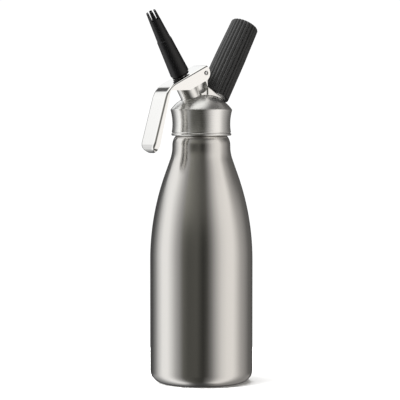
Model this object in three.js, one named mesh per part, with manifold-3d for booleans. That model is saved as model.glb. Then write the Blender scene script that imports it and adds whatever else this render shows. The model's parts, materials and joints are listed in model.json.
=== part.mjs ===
import * as THREE from 'three';
import { mergeVertices } from 'three/addons/utils/BufferGeometryUtils.js';
import Module from 'manifold-3d';

const wasm = await Module();
wasm.setup();

// Whipped cream dispenser with a one litre bottle, lengths in millimetres. The bottle stands on the origin
// with +Z up. The head is symmetrical about the XZ plane, its lever and nozzle point to -X and its charger
// holder to +X. The valve pieces stand along the nozzle axis, and the gas pieces along the charger axis.

const degree = Math.PI / 180;
const quarter = Math.PI / 2;
const fullTurn = Math.PI * 2;

// Clearances
const gap = 0.3;
const overrun = 6;
const mergeDistance = 0.0005;

// Bottle
const bottleRadius = 46;
const bottleWall = 1.2;
const baseCorner = 11;
const wallTop = 110;
const shoulderCurve = 229;
const shoulderLean = 19.4 * degree;
const throatCurve = 35;
const throatRadius = 26;
const throatHeight = 1.1;
const lipCurve = 13.3;
const neckRadius = 22.6;
const neckWall = 2.4;
const neckHeight = 15.6;
const rimRound = 0.8;

// Head: collar, dome and the gasket that it presses on the bottle's rim. Heights are from that rim
const collarSkirt = 16;
const collarRise = 7.3;
const collarWaistDrop = 5.5;
const collarWaistRadius = 25.9;
const collarLipRadius = 26.9;
const collarLipHeight = 3.3;
const collarTopRadius = 27.65;
const collarEdge = 0.6;
const threadGap = 0.6;
const domeCurve = 33.9;
const domeCentreDrop = 12.4;
const domeWall = 4.9;
const cavityRadius = 19;
const gasketThickness = 2;
const gasketWidth = 2.6;

// Nozzle axis, along which the valve moves
const nozzleLean = 30.25 * degree;
const nozzleOriginDrop = 1.1;
const valveBossRadius = 8.9;
const seatHeight = 14.5;
const stemRadius = 4;
const stemBore = 2.3;
const glandRingSection = 0.65;
const lowerRingHeight = 19.75;
const upperRingHeight = 22.55;
const springFloor = 24.5;
const springPocketRadius = 6.6;
const springWasherThickness = 0.6;
const springWireRadius = 0.55;
const springRadius = 5.3;
const springTurns = 5.5;
const shoulderRadius = 7;
const shoulderThickness = 2.5;
const crownCurve = 60;
const crownGap = 0.5;
const portRadius = 1.4;
const portHeight = 16.4;
const tailRadius = 3;
const sealRadius = 6.8;
const sealThickness = 2;
const washerThickness = 1.2;
const nutThickness = 4;
const nutFlats = 11;

// Nozzle and the black collar under it
const collarNutRadius = 7.9;
const collarNutFlange = 1.1;
const collarNutNeckRadius = 6.9;
const collarNutHeight = 1.85;
const nozzleLength = 62.2;
const nozzleBaseRadius = 8.6;
const nozzleBaseRound = 1.1;
const nozzleStepHeight = 34;
const nozzleStep = 0.4;
const nozzleStepRadius = 6.75;
const nozzleTipRadius = 4.45;
const nozzleTipWall = 1.25;
const nozzleSocketDepth = 12;
const nozzleSealRadius = 6;
const nozzleSealThickness = 1.6;
const nozzleTeeth = 6;
const slotDepth = 8.8;
const slotTipWidth = 2.4;
const slotRootWidth = 1.7;
const slotOverrun = 1;

// Charger axis
const chargerLean = 29.07 * degree;
const chargerOriginDrop = 4.14;
const chargerBossRadius = 10.3;
const chargerBossTop = 27.9;
const chargerBossFoot = 23;
const spigotRadius = 9.9;
const spigotTop = 39.5;
const spigotBore = 4.75;
const pinFloor = 23.7;
const gasPortRadius = 1.6;
const gasPortBossRadius = 6.5;
const gasPortFoot = 18.5;
const checkValveRadius = 4;
const checkValveStem = 1.2;
const checkValveLip = 1.3;
const needleFlange = 4.4;
const needleFlangeThickness = 1.4;
const needleRadius = 0.8;
const needleBore = 0.35;
const needleTop = 32.6;
const needlePointWall = 0.07;
const pinScrewThickness = 2;
const chargerSealThickness = 2;
const chargerNeckRadius = 4.3;
const chargerNeckLength = 10.8;
const chargerMouth = 1.4;
const chargerCapRadius = 3.2;
const chargerCapThickness = 0.6;
const chargerCapHole = 1.1;
const chargerRadius = 8.9;
const chargerWall = 1.8;
const chargerShoulder = 8;
const chargerLength = 65.5;
const chargerEndRise = 7;
const insertWall = 1.1;
const insertThreadTop = 42;
const insertFloor = 2;
const holderLength = 75.3;
const holderFootRadius = 14.1;
const holderMidRadius = 13.85;
const holderTopRadius = 12.95;
const holderFootRound = 0.6;
const holderTopRound = 2.6;
const holderCrownRise = 1.9;
const holderRibs = 24;
const holderRibDepth = 0.6;

// Lever, in a frame at its pin with +X back along the web and +Z out of it
const pinX = -2.6;
const pinRise = 39.8;
const pinRadius = 2;
const pinHeadRadius = 2.6;
const pinHeadRise = 0.5;
const webLean = 26.1 * degree;
const leverHalfWidth = 11;
const sheet = 1.4;
const sheetEdge = 0.3;
const webHeight = 5.95;
const webRearReach = 4.2;
const webBendReach = 43;
const webBendRadius = 22;
const handleTurn = 47.5 * degree;
const handleLength = 58;
const handleToeRadius = 6;
const handleToeDepth = 6.4;
const handleToeCorner = 9;
const cheekDrop = 6.1;
const cheekRearBulge = 6.4;
const cheekRearDip = 3.3;
const cheekFlatReach = 22.3;
const cheekHandleDepth = 3.5;
const cheekHandleStart = 1.4;
const cheekHandleRadius = 10;
const squeeze = 10 * degree;

// Head lug that carries the pin, and the flat-sided foot of the charger boss
const lugHalfWidth = 9.2;
const lugRadius = 3.9;
const lugSetback = 4.7;
const lugSlope = 12 * degree;
const lugRootRise = 17.5;
const blockOverlap = 0.4;

// Facets around a full circle
const wideFacets = 40;
const middleFacets = 24;
const smallFacets = 16;
const tinyFacets = 8;
const ribFacets = 3;
const arcSag = 0.16;
const coarseArcSag = 0.5;
const widestArcStep = 30 * degree;

// Places that follow from the sizes above
const shoulderTopRadius = bottleRadius - shoulderCurve * (1 - Math.cos(shoulderLean));
const throatFootRadius = throatRadius + throatCurve * (1 - Math.cos(shoulderLean));
const throatTop = wallTop + (shoulderCurve + throatCurve) * Math.sin(shoulderLean)
  + (shoulderTopRadius - throatFootRadius) / Math.tan(shoulderLean);
const lipFoot = throatTop + throatHeight;
const lipCentre = throatRadius - lipCurve;
const neckTop = lipFoot + Math.sqrt(lipCurve ** 2 - (neckRadius - lipCentre) ** 2) + neckHeight;
const collarBottom = neckTop - collarSkirt;
const collarTop = neckTop + collarRise;
const collarWaist = neckTop - collarWaistDrop;
const domeCentre = neckTop - domeCentreDrop;
const nozzleOrigin = neckTop - nozzleOriginDrop;
const chargerOrigin = neckTop - chargerOriginDrop;
const pinZ = neckTop + pinRise;
const lugRoot = neckTop + lugRootRise;
const headBore = neckRadius + threadGap;
const headRoof = neckTop + gap + gasketThickness + gap;
const nozzleAxis = new THREE.Vector3(-Math.sin(nozzleLean), 0, Math.cos(nozzleLean));
const chargerAxis = new THREE.Vector3(Math.sin(chargerLean), 0, Math.cos(chargerLean));
const pinPlace = new THREE.Vector3(pinX, 0, pinZ);
const webBack = new THREE.Vector3(Math.cos(webLean), 0, Math.sin(webLean));
const webOut = new THREE.Vector3(-Math.sin(webLean), 0, Math.cos(webLean));
const webTop = crossWeb(webHeight);
const webUnder = crossWeb(webHeight - sheet);
const leverSpan = webRearReach + webBendReach + handleLength;
const valveArm = axisArm();
const valveTravel = valveArm * squeeze;
const shoulderTop = webUnder.along - crownGap;
const shoulderFoot = shoulderTop - shoulderThickness;
const valveBossTop = shoulderFoot - valveTravel - gap * 2;
const collarNutFoot = webTop.along + crownGap;
const collarNutTop = collarNutFoot + collarNutHeight;
const nozzleFoot = collarNutTop + gap;
const stemTop = nozzleFoot + nozzleSocketDepth - gap;
const sealTop = seatHeight - gap;
const washerTop = sealTop - sealThickness - gap;
const nutTop = washerTop - washerThickness - gap;
const tailFoot = nutTop - nutThickness - gap * 2;
const glandRingRadius = stemRadius + gap + glandRingSection;
const pinScrewFoot = pinFloor + gap + needleFlangeThickness + gap;
const chargerSealFoot = pinScrewFoot + pinScrewThickness + gap;
const chargerFoot = chargerSealFoot + chargerSealThickness + gap;
const chargerTop = chargerFoot + chargerLength;
const insertTop = chargerTop + gap + insertFloor;
const holderFoot = chargerBossTop + gap;
const holderTop = holderFoot + holderLength;
const insertBore = chargerRadius + gap;
const insertThreadBore = spigotRadius + gap;

// Where the nozzle axis crosses a plane at this height over the pin: its distance along the axis, and its
// place along the web
function crossWeb(height) {
  const start = new THREE.Vector3(0, 0, nozzleOrigin).sub(pinPlace);
  const along = (height - start.dot(webOut)) / nozzleAxis.dot(webOut);
  return { along, reach: start.dot(webBack) + along * nozzleAxis.dot(webBack) };
}

// Distance from the pin to the nozzle axis, square to both
function axisArm() {
  const start = pinPlace.clone().sub(new THREE.Vector3(0, 0, nozzleOrigin));
  return start.cross(nozzleAxis).length();
}

// Adds the points of an arc from one angle to another, close enough together for the sag between them
function addArc(points, centreX, centreY, radius, from, to, sag = arcSag) {
  const step = Math.min(widestArcStep, 2 * Math.acos(Math.max(0, 1 - sag / radius)));
  const steps = Math.max(1, Math.ceil(Math.abs(to - from) / step));
  for (let i = 0; i <= steps; i += 1) {
    const angle = from + ((to - from) * i) / steps;
    points.push(new THREE.Vector2(centreX + radius * Math.cos(angle), centreY + radius * Math.sin(angle)));
  }
}

// Turns a list of corners, each with the radius that rounds it, into an outline
function rounded(corners) {
  const points = [];
  corners.forEach((corner, i) => {
    const here = corner.at;
    if (!corner.radius) {
      points.push(here.clone());
      return;
    }
    const before = corners[(i + corners.length - 1) % corners.length].at.clone().sub(here).normalize();
    const after = corners[(i + 1) % corners.length].at.clone().sub(here).normalize();
    const half = Math.acos(THREE.MathUtils.clamp(before.dot(after), -1, 1)) / 2;
    const middle = before.clone().add(after).normalize();
    const centre = here.clone().add(middle.multiplyScalar(corner.radius / Math.sin(half)));
    const start = here.clone().add(before.multiplyScalar(corner.radius / Math.tan(half))).sub(centre);
    const end = here.clone().add(after.multiplyScalar(corner.radius / Math.tan(half))).sub(centre);
    let turn = end.angle() - start.angle();
    if (turn > Math.PI) turn -= fullTurn;
    if (turn < -Math.PI) turn += fullTurn;
    addArc(points, centre.x, centre.y, corner.radius, start.angle(), start.angle() + turn);
  });
  return points;
}

function corner(x, y, radius = 0) {
  return { at: new THREE.Vector2(x, y), radius };
}

// Leaves out points that fall on the one before
function distinct(points) {
  return points.filter((point, i) => i === 0 || point.distanceTo(points[i - 1]) > mergeDistance * 2);
}

// A closed mesh as a solid that can be joined and cut
function toSolid(geometry) {
  const bare = new THREE.BufferGeometry();
  bare.setAttribute('position', geometry.getAttribute('position'));
  if (geometry.index) bare.setIndex(geometry.index);
  const merged = mergeVertices(bare, mergeDistance);
  const corners = merged.index.array;
  const kept = [];
  for (let i = 0; i < corners.length; i += 3) {
    const [a, b, c] = [corners[i], corners[i + 1], corners[i + 2]];
    if (a !== b && b !== c && c !== a) kept.push(a, b, c);
  }
  const vertProperties = new Float32Array(merged.getAttribute('position').array);
  return new wasm.Manifold(new wasm.Mesh({ numProp: 3, vertProperties, triVerts: new Uint32Array(kept) }));
}

function toGeometry(solid) {
  const mesh = solid.getMesh();
  const geometry = new THREE.BufferGeometry();
  geometry.setAttribute('position', new THREE.BufferAttribute(new Float32Array(mesh.vertProperties), 3));
  geometry.setIndex(new THREE.BufferAttribute(new Uint32Array(mesh.triVerts), 1));
  return geometry;
}

// A profile of radius and height turned about Z. Its outer side runs upward
function revolve(points, facets) {
  const geometry = new THREE.LatheGeometry(distinct(points), facets);
  return geometry.rotateX(quarter);
}

// The same for a profile that closes on itself around a bore
function revolveRing(points, facets) {
  return revolve([...points, points[0].clone()], facets);
}

function rod(radius, foot, top, facets = smallFacets) {
  const points = [
    new THREE.Vector2(0, foot),
    new THREE.Vector2(radius, foot),
    new THREE.Vector2(radius, top),
    new THREE.Vector2(0, top),
  ];
  return revolve(points, facets);
}

function ring(bore, radius, foot, top, facets = smallFacets) {
  const points = [
    new THREE.Vector2(bore, foot),
    new THREE.Vector2(radius, foot),
    new THREE.Vector2(radius, top),
    new THREE.Vector2(bore, top),
  ];
  return revolveRing(points, facets);
}

// An outline in XZ, given a width that is centred on the XZ plane
function plate(points, halfWidth) {
  const shape = new THREE.Shape(distinct(points));
  const geometry = new THREE.ExtrudeGeometry(shape, { depth: halfWidth * 2, bevelEnabled: false });
  return geometry.rotateX(quarter).translate(0, halfWidth, 0);
}

function crossRod(radius, halfLength) {
  return rod(radius, -halfLength, halfLength).rotateX(quarter);
}

function onAxis(geometry, lean, height) {
  return geometry.rotateY(lean).translate(0, 0, height);
}

const onNozzleAxis = (geometry) => onAxis(geometry, -nozzleLean, nozzleOrigin);
const onChargerAxis = (geometry) => onAxis(geometry, chargerLean, chargerOrigin);

// Bottle: a deep drawn shell with a flat base, and a thicker neck for the thread
function bottleSide(inset, neck, sag) {
  const points = [];
  addArc(points, bottleRadius - baseCorner, baseCorner, baseCorner - inset, -quarter, 0, sag);
  addArc(points, bottleRadius - shoulderCurve, wallTop, shoulderCurve - inset, 0, shoulderLean, sag);
  const bend = Math.PI + shoulderLean;
  addArc(points, throatRadius + throatCurve, throatTop, throatCurve + inset, bend, Math.PI, sag);
  const lipEnd = Math.acos((neck - lipCentre) / (lipCurve - inset));
  addArc(points, lipCentre, lipFoot, lipCurve - inset, 0, lipEnd, sag);
  return points;
}

function bottle() {
  const bore = neckRadius - neckWall;
  const points = [
    new THREE.Vector2(0, 0),
    ...bottleSide(0, neckRadius, arcSag),
    new THREE.Vector2(neckRadius, neckTop - rimRound),
    new THREE.Vector2(neckRadius - rimRound, neckTop),
    new THREE.Vector2(bore + rimRound, neckTop),
    new THREE.Vector2(bore, neckTop - rimRound),
    ...bottleSide(bottleWall, bore, coarseArcSag).reverse(),
    new THREE.Vector2(0, bottleWall),
  ];
  return revolve(points, wideFacets);
}

// Head: one casting with a waisted collar, a dome, the valve boss, the pin lug and the charger boss
function collarSide() {
  const points = [
    new THREE.Vector2(collarLipRadius - collarEdge, collarBottom),
    new THREE.Vector2(collarLipRadius, collarBottom + collarEdge),
    new THREE.Vector2(collarLipRadius, collarBottom + collarLipHeight),
  ];
  const waistSteps = 3;
  const lipTop = collarBottom + collarLipHeight;
  for (let i = 1; i < waistSteps; i += 1) {
    const share = 1 - i / waistSteps;
    const radius = collarWaistRadius + (collarLipRadius - collarWaistRadius) * share * share;
    points.push(new THREE.Vector2(radius, collarWaist - (collarWaist - lipTop) * share));
  }
  for (let i = 0; i <= waistSteps; i += 1) {
    const share = i / waistSteps;
    const radius = collarWaistRadius + (collarTopRadius - collarWaistRadius) * share * share;
    points.push(new THREE.Vector2(radius, collarWaist + (collarTop - collarWaist) * share));
  }
  return points;
}

function headShell() {
  const domeFoot = Math.asin((collarTop - domeCentre) / domeCurve);
  const cavityCurve = domeCurve - domeWall;
  const cavityFoot = Math.acos(cavityRadius / cavityCurve);
  const points = [
    new THREE.Vector2(headBore, collarBottom + collarEdge),
    new THREE.Vector2(headBore + collarEdge, collarBottom),
    ...collarSide(),
  ];
  addArc(points, 0, domeCentre, domeCurve, domeFoot, quarter);
  points[points.length - 1].x = 0;
  const inner = [new THREE.Vector2(headBore, headRoof), new THREE.Vector2(cavityRadius, headRoof)];
  addArc(inner, 0, domeCentre, cavityCurve, cavityFoot, quarter, coarseArcSag);
  inner[inner.length - 1].x = 0;
  return revolve([...inner.reverse(), ...points], wideFacets);
}

function lugOutline() {
  const slope = webLean + lugSlope;
  const rear = pinX + lugRadius;
  const crestRun = rear - pinX + lugRadius * Math.sin(slope);
  const crestTop = pinZ + lugRadius * Math.cos(slope) + crestRun * Math.tan(slope);
  const front = new THREE.Vector2(lugSetback, 0).rotateAround(new THREE.Vector2(), nozzleLean);
  front.y += nozzleOrigin;
  const run = new THREE.Vector2(Math.sin(nozzleLean), -Math.cos(nozzleLean));
  const drop = crestTop - Math.tan(slope) * (rear - front.x) - front.y;
  const along = drop / (Math.tan(slope) * run.x - run.y);
  const root = (front.y - lugRoot) / -run.y;
  return rounded([
    corner(rear, lugRoot),
    corner(rear, crestTop, lugRadius),
    corner(front.x - run.x * along, front.y - run.y * along, lugRadius / 4),
    corner(front.x + run.x * root, lugRoot),
  ]);
}

function chargerBlockOutline() {
  const front = pinX + lugRadius - blockOverlap;
  const top = new THREE.Vector2(chargerAxis.x, chargerAxis.z).multiplyScalar(chargerBossTop);
  const foot = new THREE.Vector2(chargerAxis.x, chargerAxis.z).multiplyScalar(chargerBossFoot);
  return [
    new THREE.Vector2(front, lugRoot),
    new THREE.Vector2(foot.x, chargerOrigin + foot.y),
    new THREE.Vector2(top.x, chargerOrigin + top.y),
    new THREE.Vector2(front, chargerOrigin + top.y + (top.x - front) * Math.tan(chargerLean)),
  ];
}

function headBody() {
  const groove = glandRingRadius + glandRingSection + gap;
  const grooveHalf = glandRingSection + gap;
  const shoulderRoom = shoulderRadius + gap * 2;
  const added = [
    onNozzleAxis(rod(valveBossRadius, seatHeight, valveBossTop, middleFacets)),
    plate(lugOutline(), lugHalfWidth),
    plate(chargerBlockOutline(), chargerBossRadius),
    onChargerAxis(rod(chargerBossRadius, chargerBossFoot, chargerBossTop, middleFacets)),
    onChargerAxis(rod(spigotRadius, chargerBossFoot, spigotTop, middleFacets)),
    onChargerAxis(rod(gasPortBossRadius, gasPortFoot, chargerBossFoot + gap)),
  ];
  const cut = [
    onNozzleAxis(rod(stemRadius + gap, seatHeight - overrun, springFloor + gap)),
    onNozzleAxis(rod(groove, lowerRingHeight - grooveHalf, lowerRingHeight + grooveHalf)),
    onNozzleAxis(rod(groove, upperRingHeight - grooveHalf, upperRingHeight + grooveHalf)),
    onNozzleAxis(rod(springPocketRadius, springFloor, valveBossTop + overrun)),
    onNozzleAxis(rod(shoulderRoom, valveBossTop, valveBossTop + overrun * 2)),
    onChargerAxis(rod(spigotBore, pinFloor, spigotTop + overrun)),
    onChargerAxis(rod(gasPortRadius, gasPortFoot - overrun, pinFloor + gap)),
    crossRod(pinRadius + gap, lugHalfWidth + overrun).translate(pinX, 0, pinZ),
  ];
  let head = toSolid(headShell());
  for (const piece of added) head = head.add(toSolid(piece));
  for (const piece of cut) head = head.subtract(toSolid(piece));
  return toGeometry(head);
}

// Lever: one sheet pressed to a channel, in the frame at its pin
const handleRun = new THREE.Vector2(-Math.cos(handleTurn), -Math.sin(handleTurn));
const handleIn = new THREE.Vector2(Math.sin(handleTurn), -Math.cos(handleTurn));
const webBend = new THREE.Vector2(-webBendReach, webHeight);

// A corner at a distance down the handle and a depth in from its outer face
function onHandle(length, depth, radius = 0) {
  const at = webBend.clone().addScaledVector(handleRun, length).addScaledVector(handleIn, depth);
  return corner(at.x, at.y, radius);
}

function leverOutline() {
  const bulge = new THREE.QuadraticBezierCurve(
    new THREE.Vector2(-webRearReach / 4, -cheekDrop),
    new THREE.Vector2(cheekRearBulge, -cheekRearDip),
    new THREE.Vector2(webRearReach, webHeight),
  );
  const rear = bulge.getPoints(tinyFacets).map((point) => corner(point.x, point.y));
  return rounded([
    ...rear,
    corner(-webBendReach, webHeight, webBendRadius),
    onHandle(handleLength, 0, handleToeRadius),
    onHandle(handleLength, handleToeDepth),
    onHandle(cheekHandleStart, cheekHandleDepth, cheekHandleRadius),
    corner(-cheekFlatReach, -cheekDrop, cheekHandleRadius / 2),
  ]);
}

// The room inside the channel, open below and behind
function leverRoom() {
  return rounded([
    corner(webRearReach + overrun, webHeight - sheet),
    corner(-webBendReach + sheet * Math.tan(handleTurn / 2), webHeight - sheet, webBendRadius - sheet),
    onHandle(handleLength - sheet, sheet, handleToeRadius - sheet),
    onHandle(handleLength - sheet, webBendRadius),
    corner(webRearReach + overrun, -webBendRadius),
  ]);
}

// The front view of the lever, with the rounded toe, as a block that goes through the handle
function leverFront(inset) {
  const half = leverHalfWidth - inset;
  const toe = handleLength - inset;
  const shape = new THREE.Shape(rounded([
    corner(-half, -toe, handleToeCorner - inset),
    corner(half, -toe, handleToeCorner - inset),
    corner(half, leverSpan),
    corner(-half, leverSpan),
  ]));
  const geometry = new THREE.ExtrudeGeometry(shape, { depth: leverSpan * 2, bevelEnabled: false });
  const basis = new THREE.Matrix4().makeBasis(
    new THREE.Vector3(0, 1, 0),
    new THREE.Vector3(-handleRun.x, 0, -handleRun.y),
    new THREE.Vector3(handleIn.x, 0, handleIn.y),
  );
  const start = webBend.clone().addScaledVector(handleIn, -leverSpan);
  return geometry.applyMatrix4(basis).translate(start.x, 0, start.y);
}

// The stem slot is longer than the stem by the distance that the web slides past it
function stemSlot() {
  const slide = (webTop.along - pinAlong()) * squeeze;
  const room = gap * 2;
  const half = stemRadius + room;
  const front = webTop.reach;
  const back = front + slide + gap;
  const shape = new THREE.Shape();
  shape.absarc(back, 0, half, -quarter, quarter, false);
  shape.absarc(front, 0, half, quarter, quarter + Math.PI, false);
  const geometry = new THREE.ExtrudeGeometry(shape, { depth: sheet + overrun, bevelEnabled: false });
  return geometry.translate(0, 0, webHeight - sheet - overrun / 2);
}

// Place along the nozzle axis that is level with the pin
function pinAlong() {
  return pinPlace.clone().sub(new THREE.Vector3(0, 0, nozzleOrigin)).dot(nozzleAxis);
}

function lever() {
  const room = toSolid(plate(leverRoom(), leverHalfWidth - sheet)).intersect(toSolid(leverFront(sheet)));
  const solid = toSolid(plate(leverOutline(), leverHalfWidth))
    .intersect(toSolid(leverFront(0)))
    .subtract(room)
    .subtract(toSolid(stemSlot()))
    .subtract(toSolid(crossRod(pinRadius + gap, leverHalfWidth + overrun)));
  return toGeometry(solid);
}

function pivotPin() {
  const half = leverHalfWidth + gap;
  const points = [
    new THREE.Vector2(0, -half - pinHeadRise),
    new THREE.Vector2(pinHeadRadius - sheetEdge, -half - pinHeadRise),
    new THREE.Vector2(pinHeadRadius, -half),
    new THREE.Vector2(pinRadius, -half),
    new THREE.Vector2(pinRadius, half),
    new THREE.Vector2(pinHeadRadius, half),
    new THREE.Vector2(pinHeadRadius - sheetEdge, half + pinHeadRise),
    new THREE.Vector2(0, half + pinHeadRise),
  ];
  return revolve(points, smallFacets).rotateX(quarter);
}

// Valve pieces, along the nozzle axis from the head's underside up
function oRing(radius, section) {
  return new THREE.TorusGeometry(radius, section, tinyFacets, smallFacets);
}

// Drop of a crowned face at a radius, as the stem's faces roll on the lever's web
function crownDrop(radius) {
  return (radius * radius) / (crownCurve * 2);
}

function valveStem() {
  const middle = (shoulderRadius + stemRadius) / 2;
  const points = [
    new THREE.Vector2(0, tailFoot),
    new THREE.Vector2(tailRadius, tailFoot),
    new THREE.Vector2(tailRadius, seatHeight),
    new THREE.Vector2(stemRadius, seatHeight),
    new THREE.Vector2(stemRadius, shoulderFoot),
    new THREE.Vector2(shoulderRadius, shoulderFoot),
    new THREE.Vector2(shoulderRadius, shoulderTop - crownDrop(shoulderRadius)),
    new THREE.Vector2(middle, shoulderTop - crownDrop(middle)),
    new THREE.Vector2(stemRadius, shoulderTop - crownDrop(stemRadius)),
    new THREE.Vector2(stemRadius, stemTop),
    new THREE.Vector2(stemBore, stemTop),
    new THREE.Vector2(stemBore, portHeight - portRadius),
    new THREE.Vector2(0, portHeight - portRadius),
  ];
  const port = crossRod(portRadius, stemRadius + overrun).translate(0, 0, portHeight);
  const solid = toSolid(revolve(points, smallFacets))
    .subtract(toSolid(port))
    .subtract(toSolid(port.clone().rotateZ(quarter)));
  return toGeometry(solid);
}

function valveNut() {
  const hexagon = new THREE.Shape();
  const radius = nutFlats / 2 / Math.cos(Math.PI / 6);
  for (let i = 0; i < 6; i += 1) {
    const angle = (fullTurn * i) / 6;
    hexagon[i ? 'lineTo' : 'moveTo'](radius * Math.cos(angle), radius * Math.sin(angle));
  }
  const hole = new THREE.Path();
  hole.absarc(0, 0, tailRadius + gap, 0, fullTurn, true);
  hexagon.holes.push(hole);
  const options = { depth: nutThickness, bevelEnabled: false, curveSegments: smallFacets };
  return new THREE.ExtrudeGeometry(hexagon, options);
}

// A compression spring, as one tube wound from the foot to the top
function valveSpring() {
  const sides = 5;
  const steps = springTurns * tinyFacets;
  const foot = springFloor + gap + springWasherThickness + gap + springWireRadius;
  const top = shoulderFoot - gap - springWireRadius;
  const rise = (top - foot) / (fullTurn * springTurns);
  const positions = [];
  const faces = [];
  const centres = [];
  for (let i = 0; i <= steps; i += 1) {
    const angle = (fullTurn * springTurns * i) / steps;
    const out = new THREE.Vector3(Math.cos(angle), Math.sin(angle), 0);
    const run = new THREE.Vector3(-out.y, out.x, rise / springRadius).normalize();
    const up = new THREE.Vector3().crossVectors(run, out);
    const centre = out.clone().multiplyScalar(springRadius).setZ(foot + rise * angle);
    centres.push(centre);
    for (let k = 0; k < sides; k += 1) {
      const turn = (fullTurn * k) / sides;
      const point = centre.clone()
        .addScaledVector(out, springWireRadius * Math.cos(turn))
        .addScaledVector(up, springWireRadius * Math.sin(turn));
      positions.push(point.x, point.y, point.z);
      const a = i * sides + k;
      const b = i * sides + ((k + 1) % sides);
      if (i < steps) faces.push(a, b, a + sides, b, b + sides, a + sides);
    }
  }
  const last = steps * sides;
  for (let k = 1; k < sides - 1; k += 1) {
    faces.push(0, k + 1, k, last, last + k, last + k + 1);
  }
  const geometry = new THREE.BufferGeometry();
  geometry.setAttribute('position', new THREE.Float32BufferAttribute(positions, 3));
  geometry.setIndex(faces);
  printLeastGap(centres, Math.round(steps / springTurns));
  return geometry;
}

// Prints the least gap between one turn of the spring and the next
function printLeastGap(centres, turn) {
  let least = Infinity;
  centres.forEach((centre, i) => {
    for (let k = i + Math.round(turn / 2); k < centres.length; k += 1) {
      least = Math.min(least, centre.distanceTo(centres[k]));
    }
  });
  console.log('least gap in the spring, mm:', (least - springWireRadius * 2).toFixed(2));
}

function nozzleCollar() {
  const bore = stemRadius + gap;
  const middle = (bore + collarNutRadius) / 2;
  const points = [
    new THREE.Vector2(bore, collarNutFoot + crownDrop(bore)),
    new THREE.Vector2(middle, collarNutFoot + crownDrop(middle)),
    new THREE.Vector2(collarNutRadius, collarNutFoot + crownDrop(collarNutRadius)),
    new THREE.Vector2(collarNutRadius, collarNutFoot + collarNutFlange),
    new THREE.Vector2(collarNutNeckRadius, collarNutFoot + collarNutFlange + gap),
    new THREE.Vector2(collarNutNeckRadius, collarNutTop),
    new THREE.Vector2(bore, collarNutTop),
  ];
  return revolveRing(points, middleFacets);
}

// Nozzle: a stepped cone whose tip is slit into teeth
function nozzleBody() {
  const bore = stemRadius + gap;
  const sealRoom = nozzleSealThickness + gap;
  const points = [];
  addArc(points, nozzleBaseRadius - nozzleBaseRound, nozzleBaseRound, nozzleBaseRound, -quarter, 0);
  points.push(
    new THREE.Vector2(nozzleStepRadius, nozzleStepHeight),
    new THREE.Vector2(nozzleStepRadius - nozzleStep, nozzleStepHeight + nozzleStep),
    new THREE.Vector2(nozzleTipRadius, nozzleLength),
    new THREE.Vector2(nozzleTipRadius - nozzleTipWall, nozzleLength),
    new THREE.Vector2(bore, nozzleSocketDepth + bore),
    new THREE.Vector2(bore, sealRoom),
    new THREE.Vector2(nozzleSealRadius + gap, sealRoom),
    new THREE.Vector2(nozzleSealRadius + gap, 0),
  );
  return revolveRing(points, middleFacets);
}

function nozzleSlot(angle) {
  const root = slotRootWidth / 2;
  const rootTop = nozzleLength - slotDepth + root;
  const shape = new THREE.Shape();
  shape.moveTo(slotTipWidth / 2, nozzleLength + slotOverrun);
  shape.lineTo(-slotTipWidth / 2, nozzleLength + slotOverrun);
  shape.lineTo(-root, rootTop);
  shape.absarc(0, rootTop, root, Math.PI, fullTurn, false);
  const depth = nozzleBaseRadius * 2;
  const options = { depth, bevelEnabled: false, curveSegments: tinyFacets };
  const geometry = new THREE.ExtrudeGeometry(shape, options);
  return geometry.translate(0, 0, -depth / 2).rotateX(quarter).rotateZ(angle);
}

function nozzle() {
  let solid = toSolid(nozzleBody());
  for (let i = 0; i < nozzleTeeth / 2; i += 1) {
    solid = solid.subtract(toSolid(nozzleSlot((fullTurn * i) / nozzleTeeth)));
  }
  return toGeometry(solid);
}

// Gas pieces, along the charger axis from the head's underside up
function checkValve() {
  const lip = gasPortFoot - gap;
  const points = [
    new THREE.Vector2(0, lip - checkValveLip),
    new THREE.Vector2(checkValveRadius / 2, lip - checkValveLip),
    new THREE.Vector2(checkValveRadius, lip - checkValveLip / 3),
    new THREE.Vector2(checkValveRadius, lip),
    new THREE.Vector2(checkValveStem, lip),
    new THREE.Vector2(checkValveStem, pinFloor - gap * 2),
    new THREE.Vector2(0, pinFloor - gap),
  ];
  return revolve(points, smallFacets);
}

function piercingPin() {
  const foot = pinFloor + gap;
  const points = [
    new THREE.Vector2(needleBore, foot),
    new THREE.Vector2(needleFlange, foot),
    new THREE.Vector2(needleFlange, foot + needleFlangeThickness),
    new THREE.Vector2(needleRadius, foot + needleFlangeThickness),
    new THREE.Vector2(needleRadius, needleTop - needleRadius * 2),
    new THREE.Vector2(needleBore + needlePointWall, needleTop),
    new THREE.Vector2(needleBore, needleTop - needleRadius / 2),
  ];
  return revolveRing(points, tinyFacets);
}

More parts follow.
